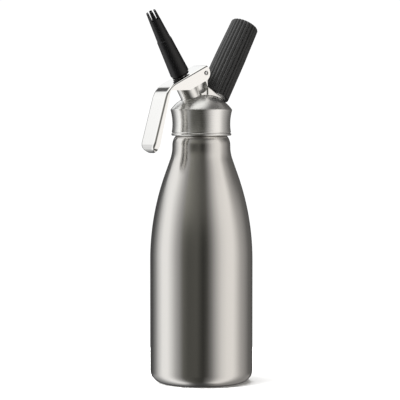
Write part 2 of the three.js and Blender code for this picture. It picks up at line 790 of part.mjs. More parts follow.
function gasCharger() {
  const bodyFoot = chargerNeckLength + chargerShoulder;
  const bodyTop = chargerLength - chargerEndRise;
  const recess = chargerCapRadius + gap;
  const recessDepth = chargerCapThickness + gap;
  const shoulder = new THREE.CubicBezierCurve(
    new THREE.Vector2(chargerNeckRadius, chargerNeckLength),
    new THREE.Vector2(chargerNeckRadius, chargerNeckLength + chargerShoulder / 2),
    new THREE.Vector2(chargerRadius, bodyFoot - chargerShoulder / 2),
    new THREE.Vector2(chargerRadius, bodyFoot),
  ).getPoints(5);
  const end = new THREE.EllipseCurve(0, bodyTop, chargerRadius, chargerEndRise, 0, quarter).getPoints(5);
  const innerEnd = new THREE.EllipseCurve(
    0, bodyTop, chargerRadius - chargerWall, chargerEndRise - chargerWall, 0, quarter,
  ).getPoints(4);
  const points = [
    new THREE.Vector2(recess, recessDepth),
    new THREE.Vector2(recess, 0),
    new THREE.Vector2(chargerNeckRadius, 0),
    ...shoulder,
    ...end,
  ];
  points[points.length - 1].x = 0;
  innerEnd[innerEnd.length - 1].x = 0;
  const inner = [
    ...innerEnd.reverse(),
    new THREE.Vector2(chargerRadius - chargerWall, bodyFoot),
    new THREE.Vector2(chargerMouth, chargerNeckLength),
    new THREE.Vector2(chargerMouth, recessDepth),
  ];
  return revolve([...inner, ...points], smallFacets);
}

function holderInsert() {
  const foot = holderFoot + gap;
  const outer = insertBore + insertWall;
  const threadOuter = insertThreadBore + insertWall;
  const inside = chargerTop + gap;
  const points = [
    new THREE.Vector2(0, inside),
    new THREE.Vector2(insertBore - insertWall, inside),
    new THREE.Vector2(insertBore, inside - insertWall),
    new THREE.Vector2(insertBore, insertThreadTop + insertWall),
    new THREE.Vector2(insertThreadBore, insertThreadTop),
    new THREE.Vector2(insertThreadBore, foot),
    new THREE.Vector2(threadOuter, foot),
    new THREE.Vector2(threadOuter, insertThreadTop),
    new THREE.Vector2(outer, insertThreadTop + insertWall),
    new THREE.Vector2(outer, insertTop - insertFloor),
    new THREE.Vector2(outer - insertWall, insertTop),
    new THREE.Vector2(0, insertTop),
  ];
  return revolve(points, middleFacets);
}

// Charger holder: a long cap with a crowned top and rounded ribs along it
function holderSide() {
  const crownFoot = holderTop - holderCrownRise - holderTopRound;
  const points = [];
  const round = holderFootRound;
  addArc(points, holderFootRadius - round, holderFoot + round, round, -quarter, 0);
  points.push(new THREE.Vector2(holderMidRadius, holderFoot + holderLength / 2));
  addArc(points, holderTopRadius - holderTopRound, crownFoot, holderTopRound, 0, quarter * (2 / 3));
  const edge = points[points.length - 1];
  const crown = new THREE.QuadraticBezierCurve(
    edge,
    new THREE.Vector2(edge.x / 2, holderTop),
    new THREE.Vector2(0, holderTop),
  );
  points.push(...crown.getPoints(2).slice(1));
  return points;
}

function ribDepthAt(angle, radius, height) {
  const inner = insertThreadBore + insertWall + gap * 2;
  if (radius < holderTopRadius - holderTopRound || height < holderFoot + holderFootRound / 2) return 0;
  if (radius < inner && height < holderTop - holderCrownRise - holderTopRound) return 0;
  const valley = 1 - Math.abs(Math.sin((angle * holderRibs) / 2));
  return holderRibDepth * valley * valley;
}

function chargerHolder() {
  const wide = insertThreadBore + insertWall + gap;
  const narrow = insertBore + insertWall + gap;
  const inside = insertTop + gap;
  const points = [
    new THREE.Vector2(0, inside),
    new THREE.Vector2(narrow - insertWall, inside),
    new THREE.Vector2(narrow, inside - insertFloor),
    new THREE.Vector2(narrow, insertThreadTop + insertWall + gap),
    new THREE.Vector2(wide, insertThreadTop + gap),
    new THREE.Vector2(wide, holderFoot),
    ...holderSide(),
  ];
  const geometry = revolve(points, holderRibs * ribFacets);
  const place = geometry.getAttribute('position');
  for (let i = 0; i < place.count; i += 1) {
    const [x, y, z] = [place.getX(i), place.getY(i), place.getZ(i)];
    const radius = Math.hypot(x, y);
    const share = radius ? 1 - ribDepthAt(Math.atan2(y, x), radius, z) / radius : 1;
    place.setXY(i, x * share, y * share);
  }
  return geometry;
}

// Materials
function finish(color, roughness, metalness) {
  return new THREE.MeshStandardMaterial({ color, roughness, metalness });
}

const brushedSteel = finish(0xb4b2ae, 0.35, 1);
const polishedSteel = finish(0xe6e6e8, 0.12, 1);
const plainSteel = finish(0xb0b2b6, 0.3, 1);
const springSteel = finish(0x9a9ca0, 0.35, 1);
const brass = finish(0xc9a659, 0.3, 1);
const blackPlastic = finish(0x202022, 0.5, 0);
const ribbedPlastic = finish(0x262628, 0.55, 0);
const rubber = finish(0x2a2a2a, 0.8, 0);
const silicone = finish(0xb9c4c9, 0.6, 0);

const dispenser = new THREE.Group();
const nozzleGroup = new THREE.Group();
nozzleGroup.position.set(0, 0, nozzleOrigin);
nozzleGroup.rotation.y = -nozzleLean;
const chargerGroup = new THREE.Group();
chargerGroup.position.set(0, 0, chargerOrigin);
chargerGroup.rotation.y = chargerLean;
const leverGroup = new THREE.Group();
leverGroup.position.copy(pinPlace);
leverGroup.rotation.y = -webLean;
dispenser.add(nozzleGroup, chargerGroup, leverGroup);

function addPiece(group, name, geometry, material, height = 0) {
  const mesh = new THREE.Mesh(geometry, material);
  mesh.name = name;
  mesh.position.z = height;
  group.add(mesh);
}

addPiece(dispenser, 'bottle', bottle(), brushedSteel);
addPiece(dispenser, 'head_gasket', ring(headBore - gap - gasketWidth, headBore - gap, 0, gasketThickness,
  wideFacets), silicone, neckTop + gap);
addPiece(dispenser, 'head_body', headBody(), brushedSteel);

addPiece(leverGroup, 'lever', lever(), polishedSteel);
addPiece(leverGroup, 'pivot_pin', pivotPin(), plainSteel);

addPiece(nozzleGroup, 'valve_nut', valveNut(), plainSteel, nutTop - nutThickness);
addPiece(nozzleGroup, 'valve_washer', ring(tailRadius + gap, sealRadius, 0, washerThickness), plainSteel,
  washerTop - washerThickness);
addPiece(nozzleGroup, 'valve_seal', ring(tailRadius + gap, sealRadius, 0, sealThickness), rubber,
  sealTop - sealThickness);
addPiece(nozzleGroup, 'valve_stem', valveStem(), plainSteel);
addPiece(nozzleGroup, 'gland_o_ring_lower', oRing(glandRingRadius, glandRingSection), rubber,
  lowerRingHeight);
addPiece(nozzleGroup, 'gland_o_ring_upper', oRing(glandRingRadius, glandRingSection), rubber,
  upperRingHeight);
addPiece(nozzleGroup, 'spring_washer', ring(stemRadius + gap, springPocketRadius - gap, 0,
  springWasherThickness), plainSteel, springFloor + gap);
addPiece(nozzleGroup, 'valve_spring', valveSpring(), springSteel);
addPiece(nozzleGroup, 'nozzle_collar', nozzleCollar(), blackPlastic);
addPiece(nozzleGroup, 'nozzle_seal', ring(stemRadius + gap, nozzleSealRadius, 0, nozzleSealThickness),
  rubber, nozzleFoot);
addPiece(nozzleGroup, 'nozzle', nozzle(), blackPlastic, nozzleFoot);

addPiece(chargerGroup, 'check_valve', checkValve(), silicone);
addPiece(chargerGroup, 'piercing_pin', piercingPin(), brass);
addPiece(chargerGroup, 'pin_screw', ring(gasPortRadius, needleFlange, 0, pinScrewThickness), brass,
  pinScrewFoot);
addPiece(chargerGroup, 'charger_seal', ring(checkValveStem, needleFlange, 0, chargerSealThickness), rubber,
  chargerSealFoot);
addPiece(chargerGroup, 'gas_charger', gasCharger(), plainSteel, chargerFoot);
addPiece(chargerGroup, 'charger_cap', ring(chargerCapHole, chargerCapRadius, 0, chargerCapThickness), brass,
  chargerFoot);
addPiece(chargerGroup, 'holder_insert', holderInsert(), plainSteel);
addPiece(chargerGroup, 'charger_holder', chargerHolder(), ribbedPlastic);

export default dispenser;
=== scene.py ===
import json
import math

import bpy
from mathutils import Matrix, Vector


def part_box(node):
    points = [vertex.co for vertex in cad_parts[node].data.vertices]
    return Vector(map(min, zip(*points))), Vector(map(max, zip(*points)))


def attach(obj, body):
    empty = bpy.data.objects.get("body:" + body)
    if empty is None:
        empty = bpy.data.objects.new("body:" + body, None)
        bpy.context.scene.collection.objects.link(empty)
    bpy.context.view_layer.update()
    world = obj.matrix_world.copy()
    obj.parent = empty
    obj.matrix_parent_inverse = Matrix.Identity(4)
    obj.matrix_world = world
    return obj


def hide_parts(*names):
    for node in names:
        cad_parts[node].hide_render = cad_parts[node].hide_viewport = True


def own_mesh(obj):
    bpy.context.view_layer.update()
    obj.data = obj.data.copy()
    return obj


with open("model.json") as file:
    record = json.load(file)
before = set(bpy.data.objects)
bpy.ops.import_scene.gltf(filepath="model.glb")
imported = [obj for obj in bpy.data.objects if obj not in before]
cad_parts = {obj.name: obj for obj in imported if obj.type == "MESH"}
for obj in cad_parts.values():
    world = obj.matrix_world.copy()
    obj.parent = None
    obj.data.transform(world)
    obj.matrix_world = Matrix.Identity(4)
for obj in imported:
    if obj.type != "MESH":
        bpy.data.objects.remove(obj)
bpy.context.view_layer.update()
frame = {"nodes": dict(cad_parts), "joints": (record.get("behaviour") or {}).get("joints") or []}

# Camera. It stands well back with a long lens, round to the left of the lever's plane, and looks
# down a little from the height of the collar, as the photograph was taken.
camera_turn = math.radians(-36)
camera_distance = 1.6
camera_sidestep = -0.0012
eye_height = 0.2356
aim_height = 0.1638
view_angle = math.radians(12.79)

camera_right = Vector((math.cos(camera_turn), math.sin(camera_turn), 0))
camera_ahead = Vector((-math.sin(camera_turn), math.cos(camera_turn), 0))
eye = camera_right * camera_sidestep - camera_ahead * camera_distance + Vector((0, 0, eye_height))
aim = camera_right * camera_sidestep + Vector((0, 0, aim_height))
bpy.ops.object.camera_add(location=eye, rotation=(aim - eye).to_track_quat("-Z", "Y").to_euler())
camera = bpy.context.object
camera.name = "photo_camera"
camera.data.angle = view_angle
bpy.context.scene.camera = camera

# Studio. White cloth hangs either side of a dark gap that faces the bottle, which gives the steel its
# upright bands. It goes on round the back and a white cloth hangs overhead, a little behind. Levels
# are by bearing from the camera, with left below zero. Two boxes light the floor and the plastics.
wall_levels = ((-180, 0.06), (-142, 0.09), (-126, 0.3), (-110, 0.78), (-98, 1.1), (-82, 1.12),
               (-70, 0.82), (-60, 0.52), (-50, 0.32), (-42, 0.14), (-30, 0.08), (-10, 0.1), (4, 0.03),
               (13, 0.06), (23, 0.23), (33, 0.5), (46, 0.82), (60, 0.98), (76, 1.0), (98, 0.5),
               (131, 0.16), (180, 0.05))
cloth_levels = ((-180, 0.1), (-176, 0.1), (-172, 1.02), (-150, 1.02), (-144, 0.1), (-132, 0.1),
                (-128, 1.0), (-98, 1.14), (-84, 1.1), (-66, 0.72), (-50, 0.4), (-40, 0.3), (-26, 0.22),
                (-12, 0.16), (2, 0.11), (12, 0.12), (22, 0.3), (34, 0.62), (50, 0.95), (76, 1.05),
                (92, 0.5), (120, 0.14), (165, 0.08), (180, 0.08))
high_levels = ((-180, 0.98), (-128, 0.98), (-100, 0.3), (-70, 0.1), (90, 0.06), (120, 0.1), (160, 0.9),
               (180, 0.98))
low_levels = ((-180, 0.06), (-168, 0.06), (-152, 0.25), (-126, 0.5), (-112, 0.85), (-98, 1.12),
              (-82, 1.12), (-70, 0.82), (-60, 0.52), (-50, 0.3), (-42, 0.12), (4, 0.04), (23, 0.24),
              (33, 0.5), (46, 0.82), (60, 0.98), (76, 1.0), (98, 0.5), (120, 0.3), (154, 0.3),
              (167, 0.06), (180, 0.06))
under_level = 0.08
under_head = (-1.0, -0.92)
low_head = (-0.34, -0.2)
cloth_foot = (0.16, 0.34)
high_foot = (0.6, 0.72)
overhead_towards = (-0.29, 0.1, 0.952)
overhead_edge = (0.8, 0.93)
overhead_level = 1.2
backdrop_level = 1.05
gap_bearings = (-50, 20)
gap_warmth = 0.1
side_warmth = 0.03
layer_blue = 0.98

studio = bpy.data.worlds.new("studio")
bpy.context.scene.world = studio
studio.use_nodes = True
studio_nodes = studio.node_tree.nodes
studio_links = studio.node_tree.links
studio_nodes.clear()
aim_out = studio_nodes.new("ShaderNodeTexCoord")
face_camera = studio_nodes.new("ShaderNodeVectorRotate")
face_camera.rotation_type = "Z_AXIS"
face_camera.inputs["Angle"].default_value = -camera_turn
split = studio_nodes.new("ShaderNodeSeparateXYZ")
towards = studio_nodes.new("ShaderNodeMath")
towards.operation = "MULTIPLY"
towards.inputs[1].default_value = -1
bearing = studio_nodes.new("ShaderNodeMath")
bearing.operation = "ARCTAN2"
round_share = studio_nodes.new("ShaderNodeMapRange")
round_share.inputs["From Min"].default_value = -math.pi
round_share.inputs["From Max"].default_value = math.pi


def level_ring(levels):
    """A ramp of light levels round the room, cooler on the far left and warmer in the gap and right."""
    ramp = studio_nodes.new("ShaderNodeValToRGB")
    while len(ramp.color_ramp.elements) < len(levels):
        ramp.color_ramp.elements.new(0.5)
    for stop, (degrees, level) in zip(ramp.color_ramp.elements, levels):
        stop.position = (degrees + 180) / 360
        warmth = min(max((degrees + 110) / 180, -0.3), 1) * side_warmth
        fade = gap_warmth if gap_bearings[0] < degrees < gap_bearings[1] else warmth
        stop.color = (level * (1 + warmth), level, level * (1 - fade), 1)
    studio_links.new(round_share.outputs["Result"], ramp.inputs["Fac"])
    return ramp.outputs["Color"]


def stacked(below, over, span, height=None):
    """Blends one layer of the room into the next over a span of heights."""
    rise = studio_nodes.new("ShaderNodeMapRange")
    rise.interpolation_type = "SMOOTHSTEP"
    rise.inputs["From Min"].default_value = span[0]
    rise.inputs["From Max"].default_value = span[1]
    blend = studio_nodes.new("ShaderNodeMix")
    blend.data_type = "RGBA"
    studio_links.new(height or split.outputs["Z"], rise.inputs["Value"])
    studio_links.new(rise.outputs["Result"], blend.inputs["Factor"])
    for layer, socket in ((below, blend.inputs[6]), (over, blend.inputs[7])):
        if isinstance(layer, float):
            socket.default_value = (layer, layer, layer * layer_blue, 1)
        else:
            studio_links.new(layer, socket)
    return blend.outputs[2]


room = studio_nodes.new("ShaderNodeBackground")
seen = studio_nodes.new("ShaderNodeBackground")
seen.inputs["Color"].default_value = (1, 1, 1, 1)
seen.inputs["Strength"].default_value = backdrop_level
path = studio_nodes.new("ShaderNodeLightPath")
choice = studio_nodes.new("ShaderNodeMixShader")
studio_out = studio_nodes.new("ShaderNodeOutputWorld")
studio_links.new(aim_out.outputs["Generated"], face_camera.inputs["Vector"])
studio_links.new(face_camera.outputs["Vector"], split.inputs["Vector"])
studio_links.new(split.outputs["Y"], towards.inputs[0])
studio_links.new(split.outputs["X"], bearing.inputs[0])
studio_links.new(towards.outputs["Value"], bearing.inputs[1])
studio_links.new(bearing.outputs["Value"], round_share.inputs["Value"])
overhead = studio_nodes.new("ShaderNodeVectorMath")
overhead.operation = "DOT_PRODUCT"
overhead.inputs[1].default_value = overhead_towards
studio_links.new(face_camera.outputs["Vector"], overhead.inputs[0])
room_light = stacked(under_level, level_ring(low_levels), under_head)
room_light = stacked(room_light, level_ring(wall_levels), low_head)
room_light = stacked(room_light, level_ring(cloth_levels), cloth_foot)
room_light = stacked(room_light, level_ring(high_levels), high_foot)
room_light = stacked(room_light, overhead_level, overhead_edge, overhead.outputs["Value"])
studio_links.new(room_light, room.inputs["Color"])
studio_links.new(path.outputs["Is Camera Ray"], choice.inputs["Fac"])
studio_links.new(room.outputs["Background"], choice.inputs[1])
studio_links.new(seen.outputs["Background"], choice.inputs[2])
studio_links.new(choice.outputs["Shader"], studio_out.inputs["Surface"])
bpy.context.scene.view_settings.view_transform = "Standard"

top_box_power = 22
top_box_place = Vector((0, 0, 1.4))
side_box_power = 52
side_box_place = camera_right * -0.95 - camera_ahead * 0.3 + Vector((0, 0, 0.9))
box_size = 1.2


def light_box(name, place, target, power):
    """A square soft box that lights the floor and the plastics but shows in no reflection."""
    bpy.ops.object.light_add(type="AREA", location=place)
    box_light = bpy.context.object
    box_light.name = name
    box_light.rotation_euler = (target - place).to_track_quat("-Z", "Y").to_euler()
    box_light.data.size = box_size
    box_light.data.energy = power
    box_light.visible_camera = False
    box_light.visible_glossy = False


light_box("top_box", top_box_place, Vector(), top_box_power)
light_box("side_box", side_box_place, aim, side_box_power)

floor_radius = 0.25
bpy.ops.mesh.primitive_circle_add(vertices=96, radius=floor_radius, fill_type="NGON")
floor = bpy.context.object
floor.name = "floor"
floor.visible_glossy = False
floor_paint = bpy.data.materials.new("pale_floor")
floor_paint.use_nodes = True
floor_skin = floor_paint.node_tree.nodes["Principled BSDF"].inputs
floor_skin["Base Color"].default_value = (0.93, 0.93, 0.93, 1)
floor_skin["Roughness"].default_value = 0.9
floor.data.materials.append(floor_paint)

# Bottle. One deep drawn steel shell with a rolled shoulder, a waisted throat and a thicker neck.
# It is turned from its outline as on a lathe, and brushed round and round.
bottle_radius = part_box("bottle")[1][0]
bottle_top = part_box("bottle")[1][2]
bottle_wall = 0.0012
base_corner = 0.011
wall_top = 0.110
shoulder_curve = 0.229
shoulder_lean = math.radians(19.4)
throat_curve = 0.035
throat_radius = 0.026
throat_height = 0.0011
lip_curve = 0.0133
neck_radius = 0.0226
neck_wall = 0.0024
rim_round = 0.0008


def arc(centre, radius, start, end, steps=12):
    """Points of an arc about a centre, as (radius, height) pairs."""
    angles = [start + (end - start) * i / steps for i in range(steps + 1)]
    return [(centre[0] + radius * math.cos(a), centre[1] + radius * math.sin(a)) for a in angles]


def pick(*pieces):
    """Selects these pieces alone, the first one active."""
    bpy.ops.object.select_all(action="DESELECT")
    for piece in pieces:
        piece.select_set(True)
    bpy.context.view_layer.objects.active = pieces[0]


def stand(piece, place, sharp=math.radians(35)):
    """Puts a finished mesh in its place, leaves the object unturned at the origin, and shades it."""
    pick(piece)
    piece.matrix_world = place
    bpy.ops.object.transform_apply()
    bpy.ops.object.shade_smooth_by_angle(angle=sharp)


def drawn(name, outline, across=0):
    """Draws a line of edges through (x, z) points, and leaves it selected in edit mode."""
    bpy.ops.object.select_all(action="DESELECT")
    bpy.ops.mesh.primitive_plane_add(size=0.001)
    piece = bpy.context.object
    piece.name = name
    bpy.ops.object.mode_set(mode="EDIT")
    bpy.ops.mesh.merge(type="CENTER")
    bpy.ops.transform.translate(value=(outline[0][0], across, outline[0][1]))
    for before, after in zip(outline, outline[1:]):
        step = (after[0] - before[0], 0, after[1] - before[1])
        bpy.ops.mesh.extrude_vertices_move(TRANSFORM_OT_translate={"value": step})
    bpy.ops.mesh.select_all(action="SELECT")
    return piece


def turned(name, outline, steps=128, around=Matrix()):
    """Draws an outline beside the axis, spins it about that axis, and stands it in its place."""
    piece = drawn(name, outline)
    bpy.ops.mesh.spin(steps=steps, angle=math.tau, center=(0, 0, 0), axis=(0, 0, 1))
    bpy.ops.mesh.select_all(action="SELECT")
    bpy.ops.mesh.remove_doubles(threshold=0.000002)
    bpy.ops.mesh.normals_make_consistent(inside=False)
    bpy.ops.object.mode_set(mode="OBJECT")
    stand(piece, around)
    return piece


def bottle_side(inset, neck):
    """The bottle's side from the base corner to the neck, set in by the wall."""
    lip_centre = throat_radius - lip_curve
    cone_foot = bottle_radius - shoulder_curve * (1 - math.cos(shoulder_lean))
    cone_head = throat_radius + throat_curve * (1 - math.cos(shoulder_lean))
    throat_top = (wall_top + (shoulder_curve + throat_curve) * math.sin(shoulder_lean)
                  + (cone_foot - cone_head) / math.tan(shoulder_lean))
    lip_foot = throat_top + throat_height
    lip_end = math.acos((neck - lip_centre) / (lip_curve - inset))
    corner = arc((bottle_radius - base_corner, base_corner), base_corner - inset, -math.pi / 2, 0)
    shoulder = arc((bottle_radius - shoulder_curve, wall_top), shoulder_curve - inset, 0, shoulder_lean, 24)
    throat = arc((throat_radius + throat_curve, throat_top), throat_curve + inset,
                 math.pi + shoulder_lean, math.pi, 12)
    lip = arc((lip_centre, lip_foot), lip_curve - inset, 0, lip_end, 12)
    return corner + shoulder + throat + lip


bore = neck_radius - neck_wall
rim_outside = arc((neck_radius - rim_round, bottle_top - rim_round), rim_round, 0, math.pi / 2, 4)
rim_inside = arc((bore + rim_round, bottle_top - rim_round), rim_round, math.pi / 2, math.pi, 4)
bottle_outline = [(0, 0)] + bottle_side(0, neck_radius) + rim_outside + rim_inside
bottle_outline += bottle_side(bottle_wall, bore)[::-1] + [(0, bottle_wall)]
bottle = turned("brushed_bottle", bottle_outline, steps=192)


def grained(name, colour, metallic, grain, glosses, detail=2):
    """A material whose roughness goes up and down between two values with a fine noise."""
    material = bpy.data.materials.new(name)
    material.use_nodes = True
    nodes = material.node_tree.nodes
    links = material.node_tree.links
    skin = nodes["Principled BSDF"]
    skin.inputs["Base Color"].default_value = colour
    skin.inputs["Metallic"].default_value = metallic
    place = nodes.new("ShaderNodeTexCoord")
    stretch = nodes.new("ShaderNodeMapping")
    stretch.inputs["Scale"].default_value = grain
    noise = nodes.new("ShaderNodeTexNoise")
    noise.name = "noise"
    noise.inputs["Scale"].default_value = 1
    noise.inputs["Detail"].default_value = detail
    gloss = nodes.new("ShaderNodeMapRange")
    gloss.name = "gloss"
    gloss.inputs["To Min"].default_value, gloss.inputs["To Max"].default_value = glosses
    links.new(place.outputs["Object"], stretch.inputs["Vector"])
    links.new(stretch.outputs["Vector"], noise.inputs["Vector"])
    links.new(noise.outputs["Fac"], gloss.inputs["Value"])
    links.new(gloss.outputs["Result"], skin.inputs["Roughness"])
    return material


def add_relief(material, strength, depth):
    """Lets a material's noise raise its surface as well, very slightly."""
    nodes = material.node_tree.nodes
    links = material.node_tree.links
    relief = nodes.new("ShaderNodeBump")
    relief.inputs["Strength"].default_value = strength
    relief.inputs["Distance"].default_value = depth
    links.new(nodes["noise"].outputs["Fac"], relief.inputs["Height"])
    links.new(relief.outputs["Normal"], nodes["Principled BSDF"].inputs["Normal"])


def brushed_steel(name, colour, roughness, grain, streaks):
    """Steel with fine scratches that run round the object's axis, and soft upright highlights."""
    steel = grained(name, colour, 1, (30, 30, grain), (roughness * 0.93, roughness * 1.07), 6)
    nodes = steel.node_tree.nodes
    nodes["noise"].inputs["Roughness"].default_value = 0.7
    nodes["gloss"].inputs["From Min"].default_value = 0.3
    nodes["gloss"].inputs["From Max"].default_value = 0.7
    skin = nodes["Principled BSDF"]
    skin.inputs["Anisotropic"].default_value = 0.75
    skin.inputs["Anisotropic Rotation"].default_value = 0.25
    tangent = nodes.new("ShaderNodeTangent")
    tangent.direction_type = "RADIAL"
    tangent.axis = "Z"
    steel.node_tree.links.new(tangent.outputs["Tangent"], skin.inputs["Tangent"])
    add_relief(steel, streaks, 0.0001)
    return steel


bottle.data.materials.append(brushed_steel("bottle_steel", (0.69, 0.675, 0.65, 1), 0.2, 2600, 0.015))
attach(bottle, "bottle")
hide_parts("bottle")

# Neck thread. A rounded ridge wound round the bottle's neck, on which the head screws. It is a small
# trapezium drawn beside the axis and wound up by a screw.
thread_pitch = 0.004
thread_rise = 0.00045
thread_root = 0.0019
thread_crest = 0.0009
thread_sink = 0.0002
thread_steps = 64
neck_thread_foot = 0.2262
neck_thread_turns = 2.4


def wound(piece, turns, rise, steps):
    """Winds a flat section up round the axis with a screw, and closes both ends."""
    wind = piece.modifiers.new("wind", "SCREW")
    wind.angle = math.tau * turns
    wind.screw_offset = rise
    wind.steps = steps
    wind.render_steps = steps
    wind.use_normal_calculate = True
    bpy.ops.object.modifier_apply(modifier="wind")
    bpy.ops.object.mode_set(mode="EDIT")
    bpy.ops.mesh.select_all(action="SELECT")
    bpy.ops.mesh.remove_doubles(threshold=0.000001)
    bpy.ops.mesh.fill_holes(sides=0)
    bpy.ops.mesh.normals_make_consistent(inside=False)
    bpy.ops.object.mode_set(mode="OBJECT")


def thread_ridge(name, radius, foot, turns, rise):
    """Winds a trapezium round the axis. A negative rise points it inwards, for a nut."""
    bpy.ops.object.select_all(action="DESELECT")
    bpy.ops.mesh.primitive_plane_add(size=1, rotation=(math.pi / 2, 0, 0))
    ridge = bpy.context.object
    ridge.name = name
    bpy.ops.object.transform_apply()
    for corner in ridge.data.vertices:
        outer = corner.co.x > 0
        width = thread_crest if outer else thread_root
        height = foot + math.copysign(width / 2, corner.co.z)
        sunk = radius - math.copysign(thread_sink, rise)
        corner.co = (radius + rise if outer else sunk, 0, height)
    wound(ridge, turns, thread_pitch * turns, round(thread_steps * turns))
    bpy.ops.object.shade_smooth_by_angle(angle=math.radians(30))
    return ridge


neck_thread = thread_ridge("neck_thread", neck_radius, neck_thread_foot, neck_thread_turns, thread_rise)
neck_thread.data.materials.append(bottle.data.materials[0])
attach(neck_thread, "bottle")

# Head. One steel casting that screws on the neck: a waisted collar under a dome, from which rise the
# valve boss, the lug for the lever's pin and the charger boss with its spigot.
collar_lip_radius = 0.0269
collar_lip_height = 0.0033
collar_waist_radius = 0.0259
collar_top_radius = 0.02765
collar_edge = 0.0005
collar_bottom = bottle_top - 0.016
collar_waist = bottle_top - 0.0055
collar_top = bottle_top + 0.0073
head_bore = neck_radius + 0.0006
head_roof = bottle_top + 0.0026
dome_centre = bottle_top - 0.0124
dome_curve = 0.0339
dome_wall = 0.0049
cavity_radius = 0.019


def waist(low, high, steps=10):
    """A parabola from one (radius, height) to the next, as the collar's side has."""
    shares = [i / steps for i in range(steps + 1)]
    return [(low[0] + (high[0] - low[0]) * s * s, low[1] + (high[1] - low[1]) * s) for s in shares]


lip_groove = 0.0003
lip_inset = 0.0004
lip_bead = 0.0012
bead_end = math.radians(62)
lip_top = (collar_lip_radius - lip_inset, collar_bottom + collar_lip_height)
bead_centre = (collar_lip_radius - lip_bead, collar_bottom + lip_bead)
bead_top = bead_centre[1] + lip_bead * math.sin(bead_end)
waist_point = (collar_waist_radius, collar_waist)
rim_point = (collar_top_radius, collar_top - collar_edge / 2)
collar_side = waist(waist_point, lip_top)[::-1] + waist(waist_point, rim_point)[1:]
dome_foot = math.asin((collar_top - dome_centre) / dome_curve)
cavity_foot = math.acos(cavity_radius / (dome_curve - dome_wall))
cavity = arc((0, dome_centre), dome_curve - dome_wall, cavity_foot, math.pi / 2, 12)
shell_outline = cavity[::-1] + [(cavity_radius, head_roof), (head_bore, head_roof)]
shell_outline += [(head_bore, collar_bottom + collar_edge), (head_bore + collar_edge, collar_bottom)]
shell_outline += arc(bead_centre, lip_bead, -math.pi / 2, bead_end, 12)
shell_outline += [(lip_top[0] - lip_groove * 1.5, bead_top + 0.0001)]
shell_outline += [(lip_top[0] - lip_groove, lip_top[1] - lip_groove)]
shell_outline += collar_side
shell_outline += arc((collar_top_radius - collar_edge / 2, collar_top - collar_edge / 2), collar_edge / 2,
                     0, math.pi / 2, 3)
shell_outline += arc((0, dome_centre), dome_curve, dome_foot, math.pi / 2, 32)
shell_outline[0] = (0, shell_outline[0][1])
shell_outline[-1] = (0, shell_outline[-1][1])
head_shell = turned("head_casting", shell_outline, steps=192)
plug = turned("cavity_plug", cavity[::-1] + [(cavity_radius, head_roof), (0, head_roof)], steps=64)


def axis_frame(joint_name):
    """A frame on a slanted axis, from where it crosses the bottle's axis."""
    joint = next(j for j in frame["joints"] if j["name"] == joint_name)
    up = Vector(joint["axis"]).normalized()
    at = Vector(joint["pos_m"])
    origin = at - up * (at.x / up.x)
    back = Vector((0, 1, 0)).cross(up)
    return Matrix.Translation(origin) @ Matrix((back, Vector((0, 1, 0)), up)).transposed().to_4x4()


nozzle_axis = axis_frame("nozzle_turn")
charger_axis = axis_frame("holder_turn")

valve_boss_radius = 0.0089
valve_boss_top = 0.03573
valve_boss_foot = 0.0205
valve_boss_edge = 0.0005
gland_bore = 0.0043
spring_pocket = 0.0066
spring_floor = 0.0245
valve_boss_outline = [(gland_bore, valve_boss_foot), (valve_boss_radius, valve_boss_foot)]
valve_boss_outline += arc((valve_boss_radius - valve_boss_edge, valve_boss_top - valve_boss_edge),
                          valve_boss_edge, 0, math.pi / 2, 4)
valve_boss_outline += [(spring_pocket, valve_boss_top), (spring_pocket, spring_floor)]
valve_boss_outline += [(gland_bore, spring_floor), (gland_bore, valve_boss_foot)]
valve_boss = turned("valve_boss", valve_boss_outline, steps=96, around=nozzle_axis)

charger_boss_radius = 0.0103
charger_boss_foot = 0.0235
charger_boss_top = 0.0279
charger_boss_edge = 0.0004
spigot_radius = 0.0099
spigot_top = 0.0395
spigot_bore = 0.00475
spigot_floor = 0.0237
charger_boss_outline = [(0, charger_boss_foot), (charger_boss_radius, charger_boss_foot)]
charger_boss_outline += arc((charger_boss_radius - charger_boss_edge, charger_boss_top - charger_boss_edge),
                            charger_boss_edge, 0, math.pi / 2, 4)
charger_boss_outline += [(spigot_radius, charger_boss_top)]
charger_boss_outline += arc((spigot_radius - charger_boss_edge, spigot_top - charger_boss_edge),
                            charger_boss_edge, 0, math.pi / 2, 4)
charger_boss_outline += [(spigot_bore, spigot_top), (spigot_bore, spigot_floor), (0, spigot_floor)]
charger_boss = turned("charger_boss", charger_boss_outline, steps=96, around=charger_axis)

pin_place = Vector(next(j for j in frame["joints"] if j["name"] == "lever_pivot")["pos_m"])
lug_half_width = 0.0092
lug_radius = 0.0039
lug_setback = 0.0047
lug_edge = 0.001


def slab(name, outline, half_width, edge):
    """A flat outline in XZ, extruded across the lever's plane, with its long edges rounded over."""
    piece = drawn(name, outline, -half_width)
    bpy.ops.mesh.edge_face_add()
    bpy.ops.mesh.extrude_region_move(TRANSFORM_OT_translate={"value": (0, half_width * 2, 0)})
    bpy.ops.mesh.select_all(action="SELECT")
    bpy.ops.mesh.normals_make_consistent(inside=False)
    bpy.ops.object.mode_set(mode="OBJECT")
    rounding = piece.modifiers.new("rounding", "BEVEL")
    rounding.width = edge
    rounding.segments = 5
    rounding.limit_method = "ANGLE"
    rounding.angle_limit = math.radians(50)
    bpy.ops.object.modifier_apply(modifier="rounding")
    return piece


